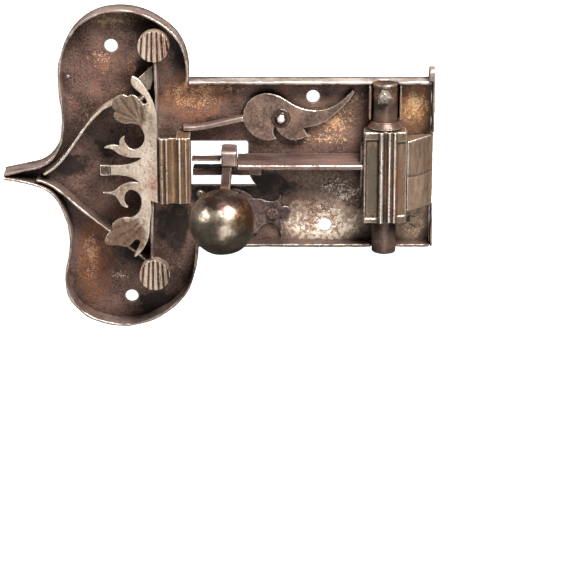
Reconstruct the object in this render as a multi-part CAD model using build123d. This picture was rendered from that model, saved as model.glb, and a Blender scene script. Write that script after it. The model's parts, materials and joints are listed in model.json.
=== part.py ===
"""Hand-forged furniture lock: a heart-shaped plate, a ball-handled swinging latch, a sprung catch
and a small turning lever.

Millimetres. The lock lies on its back: +Z is the plate's front, +X points to the forend and the
origin is on the back face, below the middle of the axle.
"""
import math
import os

from build123d import *

# Plate and case
PLATE_T = 2.0
BODY_HALF_W = 41.8
BODY_RIGHT = 22.8
TIP_UPPER = (-185.6, -3.5)
TIP_LOWER = (-185.6, -6.6)
SHOULDER_UPPER = (-94.9, BODY_HALF_W)
SHOULDER_LOWER = (-91.2, -BODY_HALF_W)
RIM_T = 1.5
RIM_TOP = 14.0
FLANGE_T = 1.8
FLANGE_TOP = 11.0
FOREND_T = 1.4
FOREND_TOP = 13.0
NUB_TOP_Y = 48.4
NUB_T = 3.2
SCREW_R = 3.2
SCREW_HOLES = ((-132.3, 57.4), (-124.8, -69.7), (-34.7, 32.2), (-28.6, -32.7))
PIN_HOLE = (-153.5, 42.3)
PIN_HOLE_R = 0.6

# Axle and what holds it
AXLE_Z = 12.0
AXLE_R = 6.1
AXLE_Y = (-43.5, BODY_HALF_W)
RUNNING_FIT = 0.06
CRADLE_HALF_W = 8.0
CRADLE_WALL_T = 1.3
CRADLE_TOP = 14.4
CRADLE_END_Y = 23.3
NAIL_Y = 35.8
NAIL_R = 1.5
NAIL_SEAT_Z = 17.6
NAIL_HEAD = 7.6
COLLAR_R = 7.1

# Latch
KNUCKLE_Y = (-26.5, 19.0)
KNUCKLE_LOWER_R = 9.4
PANEL_Z = 20.2
NOSE_TIP_X = 23.7
BAR_X = (-71.5, -9.0)
BAR_FOOT_Z = 4.0
BAR_TOP_Z = 20.0
COLLAR_X = (-79.3, BAR_X[0])
COLLAR_Y = (1.3, 9.3)
COLLAR_Z = (3.8, 20.6)
STEM_FOOT = (-76.2, 1.8, 14.0)
BALL_CENTRE = (-77.9, -16.6, 52.0)
BALL_R = 15.8
STEM_W = 4.8
UPPER_PRONG_TIP_X = -93.7
LOWER_PRONG_X = (-93.3, -59.5)

# Catch
CATCH_TOP = 23.0
CATCH_RIGHT = -94.1
CATCH_LEFT = -109.9
CATCH_Y = (-16.4, 16.4)
LEAF_Z = 20.1
LEAF_T = 1.8

# Studs, bow spring and braces
STUDS = {"stud_upper": (-110.9, 61.0), "stud_lower": (-112.1, -52.7)}
STUD_R = 7.6
STUD_SHANK_R = 3.6
STUD_HEAD_Z = (15.4, 22.4)
STUD_GROOVES = 6
STUD_GROOVE_PITCH = 2.45
STUD_GROOVE_W = 1.1
SPRING_T = 1.6
SPRING_Z = (4.0, 20.0)
BRACE_T = 1.6
BRACE_TOP = 13.0

# Lever
LEVER_PIVOT = (-50.4, 22.6)
LEVER_Z = (3.6, 6.4)
LEVER_ARM_Z = (3.6, 10.4)
LEVER_RIVET_R = 2.6
LEVER_HEAD_R = 4.9


def outline(*strokes):
    """A closed face from strokes of points; each stroke starts where the last one ended."""
    edges = []
    start = strokes[-1][-1]
    for stroke in strokes:
        points = [start, *stroke]
        edges.append(Line(*points) if len(points) == 2 else Spline(*points))
        start = stroke[-1]
    return make_face(edges)


def moulding(*runs):
    """A closed face from straight runs and arcs; an arc is given as its middle and its end."""
    edges = []
    start = runs[-1][-1]
    for run in runs:
        edges.append(Line(start, run[0]) if len(run) == 1 else ThreePointArc(start, *run))
        start = run[-1]
    return make_face(edges)


def slab(face, z_low, z_high):
    """The face carried from one height to another."""
    return Pos(0, 0, z_low) * extrude(face, z_high - z_low, dir=(0, 0, 1))


def across(section, y_low, y_high):
    """A section drawn in X and Z, carried along Y."""
    standing = Plane(origin=(0, y_high, 0), x_dir=(1, 0, 0), z_dir=(0, -1, 0)) * section
    return extrude(standing, y_high - y_low, dir=(0, -1, 0))


def along(section, x_low, x_high):
    """A section drawn in Y and Z, carried along X."""
    standing = Plane(origin=(x_low, 0, 0), x_dir=(0, 1, 0), z_dir=(1, 0, 0)) * section
    return extrude(standing, x_high - x_low, dir=(1, 0, 0))


def beside(points, distance):
    """The points moved sideways, to the left of their own direction."""
    moved = []
    for i, (x, y) in enumerate(points):
        before, after = points[max(i - 1, 0)], points[min(i + 1, len(points) - 1)]
        dx, dy = after[0] - before[0], after[1] - before[1]
        length = math.hypot(dx, dy)
        moved.append((x - dy / length * distance, y + dx / length * distance))
    return moved


def strip(points, thickness, z_low, z_high):
    """A strip on edge, its right side along the points."""
    left = beside(points, thickness)
    edges = [Spline(*points), Line(points[-1], left[-1]), Spline(*left[::-1]), Line(left[0], points[0])]
    return slab(make_face(edges), z_low, z_high)


def largest(shape):
    """The main solid, without the slivers that a cut leaves."""
    return shape.solids().sort_by(SortBy.VOLUME)[-1]


def upright_rod(x, y, radius, z_low, z_high):
    """A round rod square to the plate."""
    return Pos(x, y, (z_low + z_high) / 2) * Cylinder(radius, z_high - z_low)


def cross_rod(radius, y_low, y_high):
    """A round rod along the axle's line."""
    rod = Cylinder(radius, y_high - y_low, rotation=(90, 0, 0))
    return Pos(0, (y_low + y_high) / 2, AXLE_Z) * rod


def block(x, y, z):
    """A box between two limits on each axis."""
    size = [high - low for low, high in (x, y, z)]
    return Pos(sum(x) / 2, sum(y) / 2, sum(z) / 2) * Box(*size)


# Heart outline, walked from the upper shoulder to the tip and on to the lower shoulder
UPPER_LOBE = [
    SHOULDER_UPPER, (-96.2, 56.6), (-100.7, 65.0), (-106.8, 70.4), (-116.0, 75.4), (-127.7, 77.4),
    (-140.5, 74.7), (-150.5, 66.6), (-156.0, 55.5), (-157.7, 44.0), (-156.7, 30.0), (-156.6, 18.0),
    (-159.8, 7.5), (-166.6, 1.0), (-172.6, -0.7), (-178.6, -2.0), TIP_UPPER,
]
LOWER_LOBE = [
    TIP_LOWER, (-177.4, -8.1), (-170.0, -10.0), (-163.4, -13.4), (-157.6, -22.0), (-154.6, -32.0),
    (-154.5, -43.0), (-156.8, -54.0), (-156.0, -65.0), (-149.2, -74.8), (-138.0, -80.4),
    (-126.5, -81.8), (-114.0, -78.8), (-103.5, -72.3), (-96.0, -63.6), (-92.4, -54.0), SHOULDER_LOWER,
]


def window():
    """The opening under the latch, with a pointed ear at its lower right."""
    ear = (-62.6, -12.4)
    return outline(
        [(-104.0, 10.1)], [(-67.6, 10.1)], [(-66.7, 9.7), (-66.4, 8.6)], [(-66.4, 0.0)],
        [(-65.6, -7.5), ear], [(-104.0, -12.4)],
    )


def back_plate():
    """The heart and the rectangle in one sheet."""
    right = BODY_RIGHT
    face = make_face([
        Spline(*UPPER_LOBE), Line(TIP_UPPER, TIP_LOWER), Spline(*LOWER_LOBE),
        Line(SHOULDER_LOWER, (right, -BODY_HALF_W)), Line((right, -BODY_HALF_W), (right, BODY_HALF_W)),
        Line((right, BODY_HALF_W), SHOULDER_UPPER),
    ])
    plate = slab(face, 0, PLATE_T) - slab(window(), -1, PLATE_T + 1)
    for x, y in SCREW_HOLES:
        plate -= upright_rod(x, y, SCREW_R, -1, PLATE_T + 1)
    return plate - upright_rod(*PIN_HOLE, PIN_HOLE_R, -1, PLATE_T + 1)


def rim_upper():
    """The strip round the upper lobe."""
    return strip(UPPER_LOBE, RIM_T, PLATE_T, RIM_TOP)


def rim_lower():
    """The strip round the lower lobe, ending against the upper one at the tip."""
    return largest(strip(LOWER_LOBE, RIM_T, PLATE_T, RIM_TOP) - rim_upper())


def flange(side):
    """One long flange of the rectangle, notched for the axle; side is +1 for the top."""
    outer = side * BODY_HALF_W
    inner = side * (BODY_HALF_W - FLANGE_T)
    rim, shoulder = (rim_upper(), SHOULDER_UPPER) if side > 0 else (rim_lower(), SHOULDER_LOWER)
    wall = block((shoulder[0], BODY_RIGHT), sorted((inner, outer)), (PLATE_T, FLANGE_TOP))
    wall -= cross_rod(AXLE_R + RUNNING_FIT, *sorted((inner - side, outer + side)))
    return largest(wall - rim)


def forend():
    """The thin upstanding plate at the right end: notched for the nose, with a thick nub on top."""
    low, high = -BODY_HALF_W, NUB_TOP_Y
    nub_r = 3.4
    side_view = moulding(
        [(low, FOREND_TOP - 2)], [(low + 2, FOREND_TOP)], [(high - nub_r, FOREND_TOP)],
        [(high - 1, FOREND_TOP - 1), (high, FOREND_TOP - nub_r)], [(high, 5.0)],
        [(BODY_HALF_W, 0)], [(low, 0)],
    )
    thin = along(side_view, BODY_RIGHT, BODY_RIGHT + FOREND_T)
    thick = along(side_view, BODY_RIGHT + FOREND_T - NUB_T, BODY_RIGHT + FOREND_T)
    nub = thick & block((15, 30), (BODY_HALF_W, high), (0, 20))
    nose_notch = block((15, 30), (-20.2, 16.7), (PLATE_T + 0.2, 20))
    return thin + nub - nose_notch


def stud(x, y):
    """A shank and a thick flat head, scored with parallel grooves."""
    low, high = STUD_HEAD_Z
    head = chamfer(upright_rod(x, y, STUD_R, low, high).edges().group_by(Axis.Z)[-1], 0.5)
    solid = upright_rod(x, y, STUD_SHANK_R, PLATE_T, low) + head
    for i in range(STUD_GROOVES):
        middle = x + (i - (STUD_GROOVES - 1) / 2) * STUD_GROOVE_PITCH
        cut = (middle - STUD_GROOVE_W / 2, middle + STUD_GROOVE_W / 2)
        solid -= block(cut, (y - 9, y + 9), (high - 1.2, high + 1))
    return solid


def bow_spring():
    """The strip on edge between the studs, its ends seated on the shanks."""
    upper_y, lower_y = STUDS["stud_upper"][1], STUDS["stud_lower"][1]
    path = [(-111.2, upper_y - 1), (-110.9, 45.0), (-111.3, 15.0), (-113.2, -15.0), (-114.3, lower_y + 1)]
    spring = strip(path, SPRING_T, *SPRING_Z)
    for x, y in STUDS.values():
        spring -= upright_rod(x, y, STUD_SHANK_R, 0, 25)
        spring -= upright_rod(x, y, STUD_R + 0.1, STUD_HEAD_Z[0], 25)
    return spring


def brace_upper():
    """The strip on edge from the heart's tip, bent under the leaf, to a flat palm by the upper stud."""
    path = [(-165.5, -5.0), (-160.0, -1.4), (-148.6, 12.8), (-138.6, 25.3), (-132.4, 29.8), (-125.6, 31.0),
            (-119.4, 31.0), (-115.3, 34.4), (-113.5, 40.6), (-113.0, 47.6)]
    brace = strip(path, BRACE_T, PLATE_T, BRACE_TOP)
    palm = outline([(-119.6, 43.4)], [(-111.6, 50.6)], [(-111.4, 43.0)], [(-113.0, 37.4)])
    brace += slab(palm, BRACE_TOP - BRACE_T, BRACE_TOP)
    brace -= upright_rod(*STUDS["stud_upper"], STUD_SHANK_R, 0, 25)
    return largest(brace - rim_upper() - rim_lower() - bow_spring())


def brace_lower():
    """The strip on edge from the heart's tip to the lower stud."""
    path = [(-114.6, -48.8), (-125.0, -39.9), (-139.0, -28.3), (-148.5, -20.5), (-158.0, -12.0),
            (-163.5, -8.4), (-169.5, -6.4)]
    brace = strip(path, BRACE_T, PLATE_T, BRACE_TOP)
    brace -= upright_rod(*STUDS["stud_lower"], STUD_SHANK_R, 0, 25)
    return largest(brace - rim_lower() - rim_upper() - brace_upper())


def nail_hole(z_low, z_high):
    """The space that the nail's shank needs."""
    return upright_rod(0, NAIL_Y, NAIL_R + 0.05, z_low, z_high)


def cradle():
    """The trough under the axle's upper end, with thin side walls."""
    body = block((-CRADLE_HALF_W, CRADLE_HALF_W), (CRADLE_END_Y, BODY_HALF_W - FLANGE_T),
                 (PLATE_T, CRADLE_TOP))
    inner = CRADLE_HALF_W - CRADLE_WALL_T
    open_top = block((-inner, inner), (CRADLE_END_Y - 1, BODY_HALF_W), (AXLE_Z - 3, CRADLE_TOP + 9))
    return body - cross_rod(AXLE_R, CRADLE_END_Y - 1, BODY_HALF_W) - open_top - nail_hole(0, AXLE_Z)


def axle():
    """The round axle, flattened where the nail's head sits."""
    rod = chamfer(cross_rod(AXLE_R, *AXLE_Y).edges(), 0.8)
    seat = block((-8, 8), (NAIL_Y - NAIL_HEAD / 2, NAIL_Y + NAIL_HEAD / 2), (NAIL_SEAT_Z, 30))
    return rod - seat - nail_hole(0, 30)


def axle_collar():
    """The rounded collar between the cradle and the knuckle."""
    low, high = KNUCKLE_Y[1] + 0.15, CRADLE_END_Y
    sleeve = cross_rod(COLLAR_R, low, high)
    dome = fillet(sleeve.edges().group_by(Axis.Y)[-1], COLLAR_R - AXLE_R - 0.2)
    return dome - cross_rod(AXLE_R, low - 1, high + 1)


def axle_nail():
    """A square nail with a head hammered to a low pyramid, a little askew."""
    half = NAIL_HEAD / 2
    foot = Plane.XY.offset(NAIL_SEAT_Z) * Pos(0, NAIL_Y) * Rectangle(NAIL_HEAD - 0.1, NAIL_HEAD - 0.1)
    waist = Plane.XY.offset(NAIL_SEAT_Z + 2.4) * Pos(-0.3, NAIL_Y) * Rectangle(half * 1.7, half * 1.7)
    top = Plane.XY.offset(NAIL_SEAT_Z + 4.6) * Pos(-0.8, NAIL_Y + 0.5) * Rectangle(half * 0.8, half * 0.9)
    head = loft([foot, waist], ruled=True) + loft([waist, top], ruled=True)
    return head + upright_rod(0, NAIL_Y, NAIL_R, PLATE_T, NAIL_SEAT_Z)


def palmette():
    """A flat cut-out ornament on the plate, half hidden by the ball: two horns and an end knob."""
    body = Pos(-74.0, -26.4) * Circle(13.0)
    horns = outline(
        [(-59.7, -18.8)], [(-57.4, -19.7), (-53.6, -19.8), (-50.8, -15.7)],
        [(-49.9, -18.6), (-50.5, -22.6)], [(-50.6, -28.6)],
        [(-49.2, -33.0), (-50.7, -39.4)],
        [(-51.6, -34.4), (-55.3, -31.1), (-59.2, -33.0), (-61.6, -37.2)], [(-66.0, -36.0)],
        [(-64.6, -18.2)],
    )
    end_knob = Pos(-48.4, -25.5) * Circle(3.2)
    return slab(body + horns + end_knob, PLATE_T, PLATE_T + 2.2)


def domed_rivet(x, y, radius, z_low, height):
    """A rivet head: a short drum with a rounded top."""
    drum = upright_rod(x, y, radius, z_low, z_low + height)
    return fillet(drum.edges().group_by(Axis.Z)[-1], min(height, radius) * 0.8)


def lever_rivet():
    """The lever's pivot: a shouldered pin with a domed head."""
    x, y = LEVER_PIVOT
    washer = upright_rod(x, y, 4.4, PLATE_T, LEVER_Z[0] - 0.05)
    pin = upright_rod(x, y, LEVER_RIVET_R, LEVER_Z[0] - 0.05, LEVER_Z[1] + 0.05)
    return washer + pin + domed_rivet(x, y, LEVER_HEAD_R, LEVER_Z[1] + 0.05, 2.6)


def lever_leaf():
    """The dolphin-shaped leaf, with a comma-shaped notch and a barbed lobe."""
    face = outline(
        [(-66.5, 30.2), (-59.5, 34.7), (-51.5, 33.6), (-44.5, 29.4), (-37.7, 26.8), (-31.4, 26.5),
         (-24.8, 28.5), (-19.8, 32.2), (-15.6, 36.4)],
        [(-14.4, 35.6)],
        [(-17.4, 31.0), (-22.4, 25.8), (-28.6, 20.9), (-34.5, 18.4), (-39.4, 17.6)],
        [(-36.8, 13.8)],
        [(-40.5, 12.0), (-44.9, 11.4), (-49.4, 13.4), (-53.4, 18.4)],
        [(-53.9, 15.6), (-52.4, 12.3)],
        [(-56.9, 11.3), (-64.0, 14.0), (-68.4, 20.2), (-68.7, 24.4)],
    )
    return slab(face, *LEVER_Z) - upright_rod(*LEVER_PIVOT, LEVER_RIVET_R + RUNNING_FIT, 0, 20)


def lever_arm():
    """The strip on edge from the leaf's head to the catch block's end."""
    path = [(-97.8, 17.0), (-92.0, 17.0), (-82.0, 18.7), (-68.0, 21.8)]
    return strip(path, 2.4, *LEVER_ARM_Z) - lever_leaf()


def catch_block():
    """The moulded block, hollow behind so that the bow spring has room."""
    left, right, top = CATCH_LEFT, CATCH_RIGHT, CATCH_TOP
    section = moulding(
        [(left, top - 2.4)], [(left + 1.2, top - 2.0)],
        [(left + 2.0, top - 1.8)], [(left + 2.6, top + 0.4), (left + 3.2, top - 0.2)], [(left + 3.7, top - 1.0)],
        [(left + 4.1, top - 1.0)], [(left + 4.7, top + 0.4), (left + 5.2, top - 0.4)],
        [(left + 7.7, top - 1.7), (left + 10.2, top - 0.6)],
        [(left + 10.8, top + 0.4), (left + 11.4, top - 0.6)], [(left + 13.0, top - 1.2)],
        [(left + 13.8, top - 0.7), (left + 14.6, top - 1.4)],
        [(right, top - 1.8)], [(right, 6.0)], [(left + 8.9, 6.0)], [(left + 8.9, LEAF_Z)], [(left, LEAF_Z)],
    )
    return across(section, *CATCH_Y)


def acanthus_plate():
    """The flat scrolled leaf: two mirrored sprays, unequal as forged, on a common spine."""
    right = CATCH_LEFT
    upper_spine = [(-117.1, 44.3), (-114.0, 39.7), (-111.7, 35.3), (-110.2, 30.1), (-109.6, 25.0),
                   (right - 0.1, 16.7)]
    lower_spine = [(-112.9, -19.0), (-113.8, -26.0), (-114.6, -33.0), (-117.4, -39.4), (-121.6, -43.5)]
    lower_hook = [(-120.9, -40.6), (-118.9, -35.9)]
    lower_slot = [(-120.0, -34.6), (-122.4, -35.9)]
    lower_leaf_tips = [(-124.8, -37.8), (-127.6, -38.1)]
    lower_leaf_low = [(-130.4, -37.5), (-133.4, -37.5), (-136.3, -35.6)]
    lower_leaf_side = [(-134.6, -31.6), (-132.0, -29.8)]
    lower_frond = [(-132.4, -27.0), (-129.2, -24.0), (-123.6, -23.2)]
    lower_void = [(-119.9, -21.2), (-118.0, -14.9), (-119.9, -10.5), (-123.4, -9.5), (-126.0, -12.8),
                  (-125.4, -16.4), (-124.0, -18.0)]
    lower_curl = [(-127.0, -17.7), (-129.2, -14.7), (-130.9, -12.4), (-133.0, -11.6), (-136.4, -11.0)]
    lower_tail = [(-133.2, -10.5), (-131.0, -9.8), (-128.0, -7.3), (-124.9, -5.9), (-120.8, -5.4),
                  (-117.7, -7.3)]
    stub_under = [(-121.0, -4.1), (-126.4, -2.4), (-132.5, -2.2)]
    stub_over = [(-125.2, 3.2), (-121.4, 4.2), (-117.2, 6.8)]
    upper_tail_low = [(-122.6, 6.6), (-127.6, 8.0), (-131.4, 10.6), (-135.4, 11.2)]
    upper_tail_top = [(-132.1, 13.1), (-127.9, 12.6)]
    upper_curl = [(-127.7, 15.6), (-125.2, 17.7)]
    upper_void = [(-124.9, 13.8), (-121.0, 10.9), (-116.9, 13.0), (-116.0, 17.2), (-117.7, 21.6),
                  (-123.6, 23.5)]
    upper_frond = [(-127.3, 24.1), (-130.3, 26.9), (-129.3, 29.7)]
    upper_leaf_side = [(-131.3, 33.4), (-129.4, 36.5), (-126.2, 37.9), (-123.5, 36.9)]
    upper_leaf_top = [(-121.4, 37.8), (-118.4, 36.2), (-116.0, 33.2)]
    upper_slot = [(-114.7, 33.4), (-116.9, 37.9), (-119.7, 40.4), (-121.8, 43.4), (-121.4, 46.8)]
    face = outline(
        upper_spine, [(right, 16.4)], [(right, -16.2)], [(-113.5, -15.0)], lower_spine, [(-122.0, -43.0)],
        lower_hook, lower_slot, lower_leaf_tips, lower_leaf_low, lower_leaf_side, lower_frond, lower_void,
        lower_curl, [(-136.5, -10.3)], lower_tail, stub_under, [(-137.6, -2.2)], [(-137.6, 3.1)], stub_over,
        upper_tail_low, [(-135.3, 11.8)], upper_tail_top, upper_curl, upper_void, upper_frond,
        upper_leaf_side, upper_leaf_top, upper_slot, [(-120.8, 46.9)],
    )
    return slab(face, LEAF_Z, LEAF_Z + LEAF_T) - catch_rivet_space()


def catch_rivet_space():
    """The square hole for the rivet in the plate's stub."""
    return block((-137.0, -132.6), (-1.7, 2.5), (0, 30))


def catch_rivet():
    """The square rivet, its head a little below the leaf's face."""
    return catch_rivet_space() & block((-140, -130), (-5, 5), (LEAF_Z, LEAF_Z + LEAF_T - 0.3))


def catch_foot():
    """The post under the stub that slides on the back plate."""
    return block((-137.2, -132.4), (-1.8, 2.7), (PLATE_T + 0.05, LEAF_Z))


def knuckle():
    """The barrel round the axle: round below, with sunk panels and mouldings above."""
    r = KNUCKLE_LOWER_R
    side = r * math.cos(math.radians(20))
    low = AXLE_Z - r * math.sin(math.radians(20))
    section = moulding(
        [(-10.2, 11.0)], [(-10.6, 20.2)], [(-9.8, PANEL_Z + 1)], [(-3.1, PANEL_Z + 1)],
        [(-1.9, 22.4), (-0.8, 21.3)], [(0.3, 20.6), (1.3, 21.1)], [(2.1, 21.6), (2.8, 21.0)],
        [(3.4, 20.8), (3.9, 21.2)], [(4.5, 21.9), (5.2, 21.2)],
        [(10.0, 19.7)], [(10.6, 18.6)], [(10.2, 11.0)], [(side, low)], [(0, AXLE_Z - r), (-side, low)],
    )
    left_panel = block((-9.6, -3.2), (-23.9, 15.0), (PANEL_Z, 25))
    right_panel = moulding([(5.6, 24.0)], [(5.6, 20.5)], [(10.2, 19.0)], [(11.5, 24.0)])
    barrel = across(section, *KNUCKLE_Y) - left_panel - across(right_panel, -22.8, 13.9)
    return barrel - cross_rod(AXLE_R + RUNNING_FIT, KNUCKLE_Y[0] - 1, KNUCKLE_Y[1] + 1)


def nose_leaf():
    """The wedge-shaped nose from the knuckle to the forend, thin at its tip."""
    section = outline(
        [(14.0, 17.6), (18.6, 14.6), (NOSE_TIP_X, 10.2)], [(NOSE_TIP_X, 9.0)], [(15.6, 7.6)],
        [(9.0, 5.8)], [(9.0, 19.4)],
    )
    plan = outline(
        [(8.0, 13.6)], [(16.0, 14.9), (NOSE_TIP_X + 0.1, 15.9)], [(NOSE_TIP_X + 0.1, -19.5)],
        [(16.0, -20.7), (8.0, -21.3)],
    )
    return largest((across(section, -25, 20) & slab(plan, 0, 30)) - knuckle() - cross_rod(9.6, -30, 30))


def latch_bar():
    """The long strip on edge, leaning a little, with a palm where it meets the knuckle."""
    section = outline([(1.9, BAR_FOOT_Z)], [(4.7, BAR_FOOT_Z)], [(2.4, BAR_TOP_Z)], [(-0.1, BAR_TOP_Z)])
    palm = outline([(-13.0, 9.0)], [(-15.4, 13.0)], [(-9.0, 16.6)], [(11.0, 16.6)], [(12.4, 12.0)], [(8.0, 7.0)])
    bar = along(section, *BAR_X) + along(palm, -11.9, -9.8)
    return largest(bar - knuckle() - cross_rod(AXLE_R + 2, *KNUCKLE_Y))


def knob_collar():
    """The square collar at the root of the stem, its lower corners rounded."""
    body = block(COLLAR_X, COLLAR_Y, COLLAR_Z)
    body = chamfer(body.edges().group_by(Axis.Z)[-1], 0.9)
    lower_sides = body.edges().filter_by(Axis.Y).group_by(Axis.Z)[0]
    return fillet(lower_sides, 2.2) - stem_rod()


def upper_prong():
    """The taller prong, reaching for the catch block."""
    return block((UPPER_PRONG_TIP_X, COLLAR_X[0]), (3.6, 4.8), (8.8, 18.0))


def lower_prong():
    """The flatter prong below it, which runs on beside the bar and has a root on the collar's side."""
    bar = block(LOWER_PRONG_X, (-4.9, -0.9), (3.4, 12.0))
    return bar + block((COLLAR_X[0], COLLAR_X[1] - 0.4), (-0.9, COLLAR_Y[0]), (5.0, 12.0))


def stem_rod():
    """The square rod from its foot to the middle of the ball."""
    foot, centre = Vector(*STEM_FOOT), Vector(*BALL_CENTRE)
    axis = Plane(origin=STEM_FOOT, x_dir=(1, 0, 0), z_dir=centre - foot)
    return extrude(axis * Rectangle(STEM_W, STEM_W), (centre - foot).length)


def knob_stem():
    """The stem as it shows, from its foot to the ball."""
    return largest(stem_rod() - ball() - lower_prong())


def ball():
    """The ball handle."""
    return Pos(*BALL_CENTRE) * Sphere(BALL_R)


def knob_rivet():
    """The small rivet beside the ball."""
    return domed_rivet(-90.0, -16.6, 2.6, PLATE_T, 2.6)


def palmette_boss():
    """The round boss on the palmette."""
    return domed_rivet(-54.6, -26.3, 3.4, PLATE_T + 2.2, 1.6)


NODES = {
    "back_plate": back_plate,
    "rim_upper": rim_upper,
    "rim_lower": rim_lower,
    "flange_top": lambda: flange(1),
    "flange_bottom": lambda: flange(-1),
    "forend": forend,
    "stud_upper": lambda: stud(*STUDS["stud_upper"]),
    "stud_lower": lambda: stud(*STUDS["stud_lower"]),
    "bow_spring": bow_spring,
    "brace_upper": brace_upper,
    "brace_lower": brace_lower,
    "cradle": cradle,
    "axle": axle,
    "axle_collar": axle_collar,
    "axle_nail": axle_nail,
    "palmette": palmette,
    "palmette_boss": palmette_boss,
    "knob_rivet": knob_rivet,
    "lever_rivet": lever_rivet,
    "lever_leaf": lever_leaf,
    "lever_arm": lever_arm,
    "catch_block": catch_block,
    "acanthus_plate": acanthus_plate,
    "catch_rivet": catch_rivet,
    "catch_foot": catch_foot,
    "knuckle": knuckle,
    "nose_leaf": nose_leaf,
    "latch_bar": latch_bar,
    "knob_collar": knob_collar,
    "upper_prong": upper_prong,
    "lower_prong": lower_prong,
    "knob_stem": knob_stem,
    "knob_ball": ball,
}


def main():
    """Build every node and write its file."""
    os.makedirs("parts", exist_ok=True)
    for name, make in NODES.items():
        export_step(make(), f"parts/{name}.step")


main()
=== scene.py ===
"""Hand-forged furniture lock: forged surfaces, finishes, light and camera round the fixed frame.

Lengths are metres unless a name ends in _mm. The lock lies on its back with its front up: +X points
to the forend and +Y to the body's top edge.
"""

import json
import logging
import math
from dataclasses import dataclass, field, replace
from enum import Enum

import bmesh
import bpy
import numpy as np
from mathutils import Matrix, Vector

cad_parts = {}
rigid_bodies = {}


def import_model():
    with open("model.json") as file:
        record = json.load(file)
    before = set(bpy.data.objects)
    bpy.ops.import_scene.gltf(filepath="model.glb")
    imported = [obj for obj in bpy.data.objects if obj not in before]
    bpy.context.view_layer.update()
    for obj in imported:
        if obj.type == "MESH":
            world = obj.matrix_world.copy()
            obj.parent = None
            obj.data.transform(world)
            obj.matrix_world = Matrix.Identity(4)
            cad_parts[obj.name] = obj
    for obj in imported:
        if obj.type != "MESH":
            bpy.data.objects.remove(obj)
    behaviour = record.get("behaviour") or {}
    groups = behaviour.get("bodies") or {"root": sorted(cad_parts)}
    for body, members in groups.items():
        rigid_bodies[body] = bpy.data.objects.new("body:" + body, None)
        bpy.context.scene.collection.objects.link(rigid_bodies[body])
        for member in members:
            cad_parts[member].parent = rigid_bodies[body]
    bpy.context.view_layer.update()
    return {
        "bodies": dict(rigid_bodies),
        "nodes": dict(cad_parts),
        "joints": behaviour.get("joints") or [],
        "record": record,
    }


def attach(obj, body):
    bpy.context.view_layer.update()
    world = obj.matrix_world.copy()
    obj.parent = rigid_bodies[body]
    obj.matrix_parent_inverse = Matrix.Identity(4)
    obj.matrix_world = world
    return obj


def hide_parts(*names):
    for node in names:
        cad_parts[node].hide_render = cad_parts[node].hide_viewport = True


LOG = logging.getLogger("lock")
MM = 0.001
DOUBLE_POINTS = 1e-6
CIRCLE_POINTS = 48
Colour = tuple[float, float, float, float]
Socket = bpy.types.NodeSocket
Tree = bpy.types.NodeTree
Points = list[tuple[float, float]]

# real sizes of what weather and wear leave on iron, in millimetres, and the reach of the painted
# shade in corners
BLOOM_MM, BLOOM_GRAIN_MM = 11.0, 1.3
FLECK_PATCH_MM, FLECK_MM = 8.0, 0.7
BROKEN_EDGE_MM = 3.0
DULL_SPOT_MM = 2.6
HAMMER_MARK_MM = 8.0
WORN_EDGE_MM = 0.9
CORNER_SHADE_MM = 13.0

# how strongly each finer layer of a noise counts
NOISE_ROUGHNESS = 0.6

# how a stain, a painted shadow or a painted highlight frays: the noise has to rise over a bar,
# which climbs away from the patch's middle
STAIN_BAR = 0.62
STAIN_BAR_PER_COVER = 0.34
STAIN_CLIMB = 0.22
STAIN_WANDER = 0.6
STAIN_FRAY = 1.2


class Slot(Enum):
    """The record's material slots."""

    PLATE = "plate_iron"
    RIM = "rim_iron"
    LATCH = "latch_iron"
    WORN = "worn_iron"
    LEAF = "leaf_steel"
    BALL = "ball_steel"


class Edges(Enum):
    """How a finish finds the edges that hands and years wore bright."""

    FORGED = "the edge attribute that forging stores"
    SHARP = "the turn of the normal near a sharp edge"


def linear(hex_colour: str) -> Colour:
    """Turn an sRGB hex colour into the linear values that shaders take.

    Args:
        hex_colour: Six hex digits, with or without a leading hash.

    Returns:
        Linear red, green and blue, and an alpha of one.
    """
    digits = hex_colour.lstrip("#")
    values = [int(digits[i : i + 2], 16) / 255 for i in (0, 2, 4)]
    shades = [v / 12.92 if v <= 0.04045 else ((v + 0.055) / 1.055) ** 2.4 for v in values]
    return (shades[0], shades[1], shades[2], 1.0)


def add_node(
    tree: Tree, kind: str, inputs: dict[str | int, object] | None = None, **settings: object
) -> bpy.types.Node:
    """Add one node with its settings, its input values and its incoming links.

    Args:
        tree: The node tree to add to.
        kind: The node's type name.
        inputs: What goes into its sockets, by name or index: a value, or a socket to link from.
        settings: Attribute values of the node itself.

    Returns:
        The new node.
    """
    node = tree.nodes.new(kind)
    for name, value in settings.items():
        setattr(node, name, value)
    for key, value in (inputs or {}).items():
        if isinstance(value, Socket):
            tree.links.new(value, node.inputs[key])
        else:
            node.inputs[key].default_value = value
    return node


@dataclass(frozen=True)
class StainOrPaintedLight:
    """A ragged patch at one place on a piece: a stain, a painted shadow or a painted highlight.

    Attributes:
        colour: The patch's colour.
        centre_mm: Its middle in X and Y.
        reach_mm: Its half-widths in X and Y.
        cover: How densely it covers its middle, from 0 to 1.
        grain_mm: Size of its flecks.
        tint: How much colour lies between the flecks, from 0 to 1.
    """

    colour: str
    centre_mm: tuple[float, float]
    reach_mm: tuple[float, float]
    cover: float = 0.5
    grain_mm: float = 0.8
    tint: float = 0.15


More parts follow.
